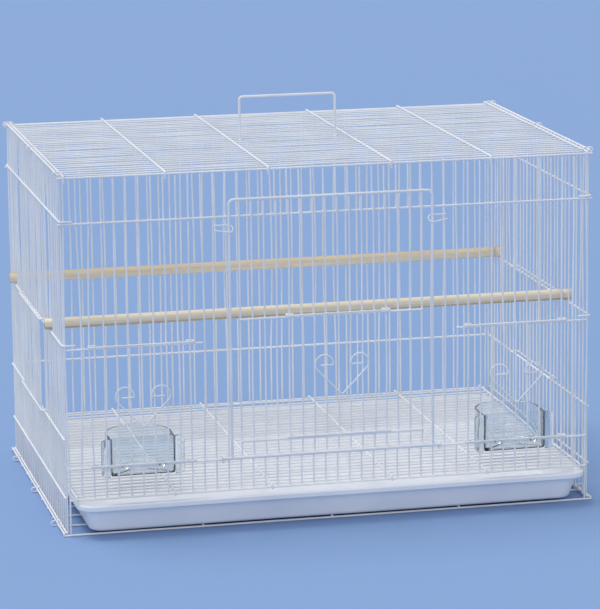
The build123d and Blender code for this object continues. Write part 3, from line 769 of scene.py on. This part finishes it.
# %% Main door
door_low, door_high = corners("main_door")
door_frame_y = door_low[1] + door_wire / 2
door_bar_y = door_frame_y + apart(bar_wire, door_wire)
door_rail_y = door_bar_y - apart(bar_wire, rail_wire)
door_weld_y = door_bar_y - 0.8
door_top_z = door_high[2] - door_wire / 2
hinge_r = rail_wire / 2 + loose_fit + door_wire / 2
door_foot_z = sill_z + hinge_r
leg_x = door_half - 2.0
knuckle_x = door_high[0] - door_wire / 2
curl_turn = 225
inner_low, inner_high = corners("inner_door")
inner_x = (inner_low[0] + inner_high[0]) / 2
inner_half = 4 * pitch
inner_sill_z, inner_guide_z = 99.0, 239.0
door_bars = evenly(16)
in_inner = np.abs(door_bars - inner_x) < inner_half - 1
door_start, door_end = door_foot_z - door_wire / 2, door_top_z + door_wire / 2
door_stops = [door_foot_z, inner_sill_z, inner_guide_z, door_top_z]

arch = bend(
    [
        (-leg_x, door_frame_y, door_foot_z),
        (-leg_x, door_frame_y, door_top_z),
        (leg_x, door_frame_y, door_top_z),
        (leg_x, door_frame_y, door_foot_z),
    ],
    6.0,
    steps=10,
)
curl = turned(np.array([knuckle_x, front_rail_y, sill_z]), (0, 0, hinge_r), -curl_turn)
foot_half = bend(
    [
        (0, door_frame_y, door_foot_z),
        (knuckle_x, door_frame_y, door_foot_z),
        (knuckle_x, front_rail_y, door_foot_z),
    ],
    2.5,
)
foot_wire = np.concatenate([foot_half[:-1], curl])
foot_wire = np.concatenate([mirrored(foot_wire)[:0:-1], foot_wire[1:]])
bar_end = door_bars.max() + rail_wire / 2
door_parts = [
    wires(arch, door_wire, sides=14),
    wires(foot_wire, door_wire, sides=14),
    uprights(door_bars[~in_inner], door_bar_y, door_start, door_end, door_stops),
    uprights(door_bars[in_inner], door_bar_y, door_start, inner_sill_z + rail_wire / 2,
             door_stops[:2]),
    uprights(door_bars[in_inner], door_bar_y, inner_guide_z - rail_wire / 2, door_end,
             door_stops[2:]),
    level(door_rail_y, inner_sill_z, -bar_end, bar_end),
    level(door_rail_y, inner_guide_z, -bar_end, bar_end),
    beads(crossings(door_bars, door_stops[1:3], 1, (door_bar_y + door_rail_y) / 2), bead_size),
    beads(crossings(door_bars, [door_foot_z, door_top_z], 1, door_weld_y), bead_size),
]
piece("main_door_grid", door_parts, coat, "main_door", "coated_wire", "main_door")

# %% [markdown]
# ## Door clips
#
# A clip is a short wire bent double round the door's leg. Its prongs spring over the jamb wire
# and hold the door shut. The two prongs part, so that the clip can grip.

# %% Clips
clip_low, clip_high = corners("right_clip")
clip_half_depth = (clip_high[1] - clip_low[1] - clip_wire) / 2
clip_half_rise = (clip_high[2] - clip_low[2] - clip_wire) / 2
clip_y, clip_z = (clip_low[1] + clip_high[1]) / 2, (clip_low[2] + clip_high[2]) / 2
clip_reach = clip_high[0] - leg_x
prong = np.array([0.0, clip_half_depth, clip_half_rise])
prong_lift = 3.0
round_leg = np.linspace(0, np.pi, 13)[:, None]
outermost = np.array([-np.hypot(clip_half_depth, clip_half_rise), 0.0, 0.0])
loop_path = -prong * np.cos(round_leg) + outermost * np.sin(round_leg)
clip_path = np.concatenate(
    [[-prong + [clip_reach, 0, prong_lift]], loop_path, [prong + [clip_reach, 0, 0]]]
) + [leg_x, clip_y, clip_z]
for label, flip in (("right", 1), ("left", -1)):
    parts = [wires(clip_path * [flip, 1, 1], clip_wire)]
    piece(label + "_clip_wire", parts, coat, label + "_clip", "coated_wire", label + "_clip")

# %% [markdown]
# ## Sliding doors
#
# The small doors slide up two jamb wires. The ends of a door's two rails are folded round the
# jambs and back, so they hold the door and still let it run. One function makes the two feeder
# doors, the inner door and the two nest box doors, in a plane of its own that is then turned into
# place.

# %% Sliding doors
fold_reach, fold_return, fold_bend = 3.5, 5.0, 2.5
slide_gap = 0.4
slider_bar = -apart(bar_wire, rail_wire) - rail_wire / 2 - slide_gap - bar_wire / 2
slider_rail = slider_bar - apart(bar_wire, slider_wire)
slider_back = bar_wire / 2 + loose_fit + slider_wire / 2


def slider_paths(half, height):
    """Bars, rails and crossings of a sliding door whose jambs stand in the plane y = 0."""
    bars = evenly(int(round(2 * half / pitch)) - 1)
    stops, overlap = [0, height], slider_wire / 2
    bar_paths = bowed(
        straight(2, pairs(bars, [slider_bar]), -overlap, height + overlap), 2, stops
    )
    outer, inner = half + fold_reach, half - fold_return
    rails = [
        bend(
            [
                (-inner, slider_back, z),
                (-outer, slider_back, z),
                (-outer, slider_rail, z),
                (outer, slider_rail, z),
                (outer, slider_back, z),
                (inner, slider_back, z),
            ],
            fold_bend,
        )
        for z in stops
    ]
    welds = crossings(bars, stops, 1, (slider_bar + slider_rail) / 2)
    return bar_paths, np.array(rails), welds


def sliding_door(name, node_name, body, half, place):
    """One sliding door, its paths moved and turned from its own plane by the function place."""
    low, high = corners(node_name)
    height = high[2] - low[2] - slider_wire
    bar_paths, rails, welds = slider_paths(half, height)
    parts = [
        wires(place(bar_paths, low), bar_wire),
        wires(place(rails, low), slider_wire),
        beads(place(welds, low), bead_size),
    ]
    piece(name, parts, coat, body, "coated_wire", node_name)


def in_front(middle, plane_y):
    """Places a door in a plane that faces the front."""
    return lambda paths, low: paths + [middle, plane_y, low[2] + slider_wire / 2]


def at_side(paths, low):
    """Turns a door a quarter to face the right side."""
    spun = np.stack([-paths[..., 1], paths[..., 0], paths[..., 2]], axis=-1)
    return spun + [side_x, nest_y, low[2] + slider_wire / 2]


for label, flip in (("right", 1), ("left", -1)):
    name = label + "_feeder_door"
    sliding_door(name + "_grid", name, name, feeder_half, in_front(flip * feeder_x, front_y))
    name = label + "_side_door"
    sliding_door(
        name + "_grid", name, name, nest_half,
        lambda paths, low, flip=flip: at_side(paths, low) * [flip, 1, 1],
    )
sliding_door("inner_door_grid", "inner_door", "inner_door", inner_half,
             in_front(inner_x, door_bar_y))

# %% [markdown]
# ## Hearts
#
# Each small front door carries a heart bent from one wire. From the point a side runs straight up
# to its lobe, touches it without a kink, goes over the lobe and turns back across it. The
# straight side is the tangent from the point to the lobe's circle.

# %% Hearts
lobe_x, lobe_z, lobe_r = 20.5, 36.0, 10.5
tick_bend, tick_length, point_bend = 1.5, 13.5, 2.0


def heart_path():
    """Half a heart, which is tangent, arc, tight turn and tick, and its mirror image."""
    far = np.hypot(lobe_x, lobe_z)
    slope = np.arctan2(lobe_z, lobe_x) - np.arcsin(lobe_r / far)
    side = np.sqrt(far**2 - lobe_r**2)
    shoulder = np.array([side * np.cos(slope), 0, side * np.sin(slope)])
    point = bend([shoulder * [-1, 1, 1], (0, 0, 0), shoulder], point_bend)[4:-1]
    sweep = np.linspace(slope - np.pi / 2, np.pi, 22)
    lobe = np.stack(
        [lobe_x + lobe_r * np.cos(sweep), 0 * sweep, lobe_z + lobe_r * np.sin(sweep)], axis=1
    )
    turn = np.linspace(np.pi, 1.5 * np.pi, 6)[1:]
    centre_x = lobe_x - lobe_r + tick_bend
    back = np.stack(
        [centre_x + tick_bend * np.cos(turn), 0 * turn, lobe_z + tick_bend * np.sin(turn)], axis=1
    )
    tick = back[-1:] + [tick_length, 0, 0]
    half = np.concatenate([point, lobe, back, tick])
    return np.concatenate([mirrored(half)[:0:-1], half])


for label, body in (
    ("left", "left_feeder_door"),
    ("right", "right_feeder_door"),
    ("middle", "inner_door"),
):
    low, high = corners(label + "_heart")
    x, y = ((low + high) / 2)[:2]
    path = heart_path() + [x, y, high[2] - heart_wire / 2 - (lobe_z + lobe_r)]
    piece(label + "_heart_wire", [wires(path, heart_wire)], coat, body, "coated_wire",
          label + "_heart")

# %% [markdown]
# ## Carrying handle
#
# The handle is a bold wire arch whose two feet are curled round the middle wire of the top, so it
# can lie flat.

# %% Carrying handle
handle_high = corners("carry_handle")[1]
handle_top_z = handle_high[2] - door_wire / 2
handle_x = handle_high[0] - door_wire / 2
handle_r = bar_wire / 2 + loose_fit + door_wire / 2
pivot = np.array([handle_x, 0.0, top_long_z])
handle_curl = turned(pivot, (0, handle_r, 0), -curl_turn)[::-1]
handle_arch = bend(
    [
        pivot + [0, handle_r, 0],
        (handle_x, handle_r, handle_top_z),
        (0, handle_r, handle_top_z),
    ],
    4.0,
    steps=10,
)
handle_half = np.concatenate([handle_curl, handle_arch[1:]])
handle_path = np.concatenate([handle_half, mirrored(handle_half)[-2::-1]])
piece("handle_wire", [wires(handle_path, door_wire, sides=14)], coat, "carry_handle",
      "coated_wire", "carry_handle")

# %% [markdown]
# ## Perches
#
# A perch is a dowel with a saw slot in each end, by which it straddles a bar of the side panel.
# Between the slots it is a plain round, and beside each slot two tongues are left, whose section
# is a circle cut by a straight line. Both are a section carried along x.

# %% Perches
perch_slot, slot_clear = 3.0, 0.6
edge_round, tongue_overlap = 0.6, 2.0


def loft(sections):
    """A closed solid through sections[station, corner] of the same number of corners."""
    stations, sides = sections.shape[:2]
    points = np.concatenate(
        [sections.reshape(-1, 3), sections[:1].mean(axis=1), sections[-1:].mean(axis=1)]
    )
    return points, *closed_faces(1, stations, sides)


def along_x(section, starts, scales):
    """Copies of a section about its own middle, at places along x and shrunk by scales."""
    middle = section.mean(axis=0)
    copies = middle + (section - middle) * np.asarray(scales)[:, None, None]
    x = np.broadcast_to(np.asarray(starts)[:, None, None], (len(starts), len(section), 1))
    return np.concatenate([x, copies], axis=-1)


def dowel(low, high):
    """The parts of one perch, from its box in the frame."""
    radius = (high[2] - low[2]) / 2
    y, z = (low[1] + high[1]) / 2, (low[2] + high[2]) / 2
    slot_x = side_x - bar_wire / 2 - slot_clear
    angle = np.linspace(0, 2 * np.pi, 41)[:-1]
    circle = np.stack([y + radius * np.cos(angle), z + radius * np.sin(angle)], axis=1)
    stations = np.linspace(-slot_x, slot_x, 40)
    parts = [loft(along_x(circle, stations, np.ones(len(stations))))]
    reach = np.arccos(perch_slot / 2 / radius)
    half_angle = np.linspace(-reach, reach, 25)
    tongue = np.stack([y + radius * np.cos(half_angle), z + radius * np.sin(half_angle)], axis=1)
    shrink = 1 - edge_round / radius * 2
    for side in (-1, 1):
        ends = [slot_x - tongue_overlap, slot_x, high[0] - edge_round, high[0]]
        places = np.array(ends) * side
        order = np.argsort(places)
        scales = np.array([1.0, 1.0, 1.0, shrink])[order]
        for turn in (1, -1):
            section = (tongue - [y, z]) * turn + [y, z]
            parts.append(loft(along_x(section, places[order], scales)))
    return parts


for name in ("front_perch", "rear_perch"):
    low, high = corners(name)
    piece(name + "_dowel", dowel(low, high), pine, name, "pale_wood", name)

# %% [markdown]
# ## Moulded pieces: one profile carried round an outline
#
# The tray and the cups are thin shells. Such a shell is a closed profile, from the middle of its
# underside out, up its wall, over its rim and back down to the middle of its floor, carried round
# an outline. The outline shrinks as the profile moves inward. Corners of the profile are rounded
# by the same bend function as the wires, and a point just beside each round keeps the flats flat.

# %% Profiles carried round an outline
def profile(points, radii, steps=5, guard=0.15):
    """A profile of (inset, z) points, with a round at each inner point between two guards."""
    points = np.array(points, float)
    path = [points[0]]
    for before, at, after, radius in zip(points, points[1:], points[2:], radii):
        arc = bend(np.insert([before, at, after], 1, 0, axis=1), radius, steps)[1:-1, [0, 2]]
        path += [arc[0] - unit(at - before) * guard, *arc, arc[-1] + unit(after - at) * guard]
    path.append(points[-1])
    return np.array(path)


def shell(outline, rows, ripple=0.0):
    """A closed shell: ring k is the outline at inset rows[k, 0], at height rows[k, 1]."""
    rings = np.array([np.insert(outline(inset), 2, z, axis=1) for inset, z in rows])
    if ripple:
        swell = np.sin(rings[..., 0] / 47) * np.sin(rings[..., 1] / 61 + 1) * ripple
        rings[..., 2] += swell
    return loft(rings)


def rounded_rectangle(middle, half, corner_radius):
    """Outline of a rectangle with round corners, counter-clockwise. Its sides have evenly spread
    points, and one close to each corner."""
    centres = np.array([(1, 1), (-1, 1), (-1, -1), (1, -1)]) * (half - corner_radius)
    turn = np.linspace(0, np.pi / 2, 9)
    points = []
    for number, centre in enumerate(centres):
        angle = turn + number * np.pi / 2
        arc = centre + corner_radius * np.stack([np.cos(angle), np.sin(angle)], axis=1)
        following = centres[(number + 1) % 4]
        next_start = following + corner_radius * np.array(
            [np.cos((number + 1) * np.pi / 2), np.sin((number + 1) * np.pi / 2)]
        )
        share = np.concatenate([[0.01], np.linspace(0, 1, 22)[1:-1], [0.99]])[:, None]
        points += [arc, arc[-1] + (next_start - arc[-1]) * share]
    return np.concatenate(points) + middle


# %% [markdown]
# ## Slide-out tray
#
# The tray's walls lean outward so that it leaves its mould, its foot is rounded, and its rim
# turns over into a short skirt that stiffens it and gives the fingers a hold.

# %% Tray
tray_low, tray_high = corners("slide_tray")
tray_middle = ((tray_low + tray_high) / 2)[:2]
tray_half = ((tray_high - tray_low) / 2)[:2]
tray_wall, tray_lip, tray_lean, tray_skirt = 2.0, 7.0, 8.0, 6.0
tray_corner, foot_round, floor_inset = 14.0, 5.0, 60.0
rim_z, foot_z = tray_high[2], tray_low[2]


def tray_outline(inset):
    """The rim's outline moved inward. Its corners keep the wall's own radius."""
    radius = tray_corner + max(0.0, tray_lip - inset)
    return rounded_rectangle(tray_middle, tray_half - inset, radius)


foot_inset = tray_lip + tray_lean
tray_rows = profile(
    [
        (floor_inset, foot_z),
        (foot_inset, foot_z),
        (tray_lip, rim_z - tray_wall),
        (tray_wall, rim_z - tray_wall),
        (tray_wall, rim_z - tray_skirt),
        (0.0, rim_z - tray_skirt),
        (0.0, rim_z),
        (tray_lip + tray_wall, rim_z),
        (foot_inset + tray_wall, foot_z + tray_wall),
        (floor_inset, foot_z + tray_wall),
    ],
    [foot_round, 1.0, 0.8, 0.6, 0.6, 1.6, 1.6, foot_round - 1],
)
piece("tray_shell", [shell(tray_outline, tray_rows, 0.25)], tray_plastic, "slide_tray",
      "tray_plastic", "slide_tray")

# %% [markdown]
# ## Feeder cups
#
# A cup is flat in front and round behind. Its front wall is wider than the cup, so two wings bear
# on the bars, and two hooks moulded on it hang over the sill rail.

# %% Cups
cup_low, cup_high = corners("right_cup")
cup_x = (cup_low[0] + cup_high[0]) / 2
cup_top, cup_foot = cup_high[2], cup_low[2]
cup_clear, cup_floor_inset = 0.4, 25.0
cup_plate_y = front_y + bar_wire / 2 + cup_clear
cup_half, cup_straight, cup_wall = 37.5, 26.0, 1.6
cup_depth = cup_high[1] - cup_plate_y
cup_front_round = 1.2
wing_half = (cup_high[0] - cup_low[0]) / 2
wing_corner, wing_overlap = 6.0, 0.4
wing_edge, wing_shrink = 0.25, 0.96


def fillet(corner_point, towards, radius, steps=5):
    """A quarter round in the plane, between two directions from a corner."""
    first, second = np.array(towards, float) * radius
    turn = np.linspace(0, np.pi / 2, steps)[:, None]
    return corner_point + first + second - first * np.sin(turn) - second * np.cos(turn)


def cup_outline(x):
    """Outline of a cup at x: flat front, straight sides, and for the back an arc of the circle
    through the sides at cup_straight and the middle of the back. The circle swells a little past
    the sides there, so they run straight on to where it crosses them again."""

    def outline(inset):
        half, depth = cup_half - inset, cup_depth - inset
        rise = depth - cup_straight
        back_r = (half**2 + rise**2) / 2 / rise
        reach = np.arctan2(rise - back_r, half)
        swing = np.linspace(reach, np.pi - reach, 41)
        back = [0, depth - back_r] + back_r * np.stack([np.cos(swing), np.sin(swing)], axis=1)
        round_r = max(cup_front_round - inset / 2, 0.4)
        left = fillet(np.array([-half, inset]), [(0, 1), (1, 0)], round_r)[::-1]
        across = np.linspace(0, 1, 12)[1:-1, None]
        side = np.array([-half, cup_straight]) * (1 - across) + left[0] * across
        front = left[-1] * (1 - across) + left[-1] * [-1, 1] * across
        left_half = np.concatenate([side, left])
        path = np.concatenate([back, left_half, front, left_half[::-1] * [-1, 1]])
        return path + [x, cup_plate_y]

    return outline


cup_rows = profile(
    [
        (cup_floor_inset, cup_foot),
        (0.0, cup_foot),
        (0.0, cup_top),
        (cup_wall, cup_top),
        (cup_wall, cup_foot + cup_wall),
        (cup_floor_inset, cup_foot + cup_wall),
    ],
    [5.0, 0.6, 0.6, 3.4],
)


def wing(x, side):
    """One wing of the front plate: a plate with two round outer corners, lofted through its
    thickness with a small round on both faces."""
    inner, outer = x + side * (cup_half - wing_overlap), x + side * wing_half
    top = fillet(np.array([outer, cup_top]), [(-side, 0), (0, -1)], wing_corner, 8)
    foot = fillet(np.array([outer, cup_foot]), [(0, 1), (-side, 0)], wing_corner, 8)
    face = np.concatenate([[(inner, cup_top)], top, foot, [(inner, cup_foot)]])
    middle = face.mean(axis=0)
    layers = []
    for depth, shrink in ((0.0, wing_shrink), (wing_edge, 1.0), (cup_wall - wing_edge, 1.0),
                          (cup_wall, wing_shrink)):
        flat = middle + (face - middle) * shrink
        layers.append(np.insert(flat, 1, cup_plate_y + depth, axis=1))
    return loft(np.array(layers)[::side])


hook_half, hook_wall, hook_drop = 3.5, 1.2, 5.2
hook_top_z = sill_z + rail_wire / 2 + loose_fit + hook_wall
hook_front_y = front_rail_y - rail_wire / 2 - loose_fit - hook_wall
hook_root_y = cup_plate_y + 0.1


def hook(x):
    """A hook: an angle section carried along x."""
    section = np.array(
        [
            (hook_root_y, hook_top_z),
            (hook_front_y, hook_top_z),
            (hook_front_y, hook_top_z - hook_drop),
            (hook_front_y + hook_wall, hook_top_z - hook_drop),
            (hook_front_y + hook_wall, hook_top_z - hook_wall),
            (hook_root_y, hook_top_z - hook_wall),
        ]
    )
    return loft(along_x(section, [x - hook_half, x + hook_half], [1.0, 1.0]))


for label, flip in (("right", 1), ("left", -1)):
    x = flip * cup_x
    parts = [shell(cup_outline(x), cup_rows)]
    parts += [wing(x, side) for side in (1, -1)]
    parts += [hook(x + side * 1.5 * pitch) for side in (1, -1)]
    piece(label + "_cup_shell", parts, clear, label + "_cup", "clear_plastic", label + "_cup")

# %% [markdown]
# ## Floor and light
#
# White wire needs a floor that is darker than itself, so the plain pale floor is a light blue. It
# runs far enough to fill the view. The light comes mostly from above and behind, which brightens
# the top of every level wire and leaves the upright ones half in shade. A wide, soft sun does
# that. A weaker one from the front opens the shade, an even sky fills the rest, and their sum is
# set so that a colour renders about as it is written.

# %% Floor
floor_mesh = bpy.data.meshes.new("floor")
reach = 60.0
square = [(-reach, -reach, 0), (reach, -reach, 0), (reach, reach, 0), (-reach, reach, 0)]
floor_mesh.from_pydata(square, [], [(0, 1, 2, 3)])
floor = bpy.data.objects.new("floor", floor_mesh)
bpy.context.scene.collection.objects.link(floor)
paper, tree, shader, place = material("matt_paper")
shader.inputs["Base Color"].default_value = paint("#84A1CC")
shader.inputs["Roughness"].default_value = 0.9
shader.inputs["Specular IOR Level"].default_value = 0.2
floor_mesh.materials.append(paper)

# %% Light
def soft_sun(name, energy, spread, turn):
    """A sun whose light starts straight down and is turned by three angles in degrees."""
    light = bpy.data.lights.new(name, "SUN")
    light.energy = energy
    light.angle = np.radians(spread)
    lamp = bpy.data.objects.new(name, light)
    bpy.context.scene.collection.objects.link(lamp)
    lamp.rotation_euler = np.radians(turn)


soft_sun("light_from_above", 1.6, 24, [-16.0, -18.0, 0.0])
soft_sun("light_from_the_front", 0.5, 40, [68.0, 0.0, -25.0])

world = bpy.data.worlds.new("studio")
bpy.context.scene.world = world
world.use_nodes = True
sky = world.node_tree.nodes["Background"]
sky.inputs["Color"].default_value = paint("#EDF0F6")
sky.inputs["Strength"].default_value = 0.68

# %% Finish
bpy.context.scene.view_settings.view_transform = "Standard"
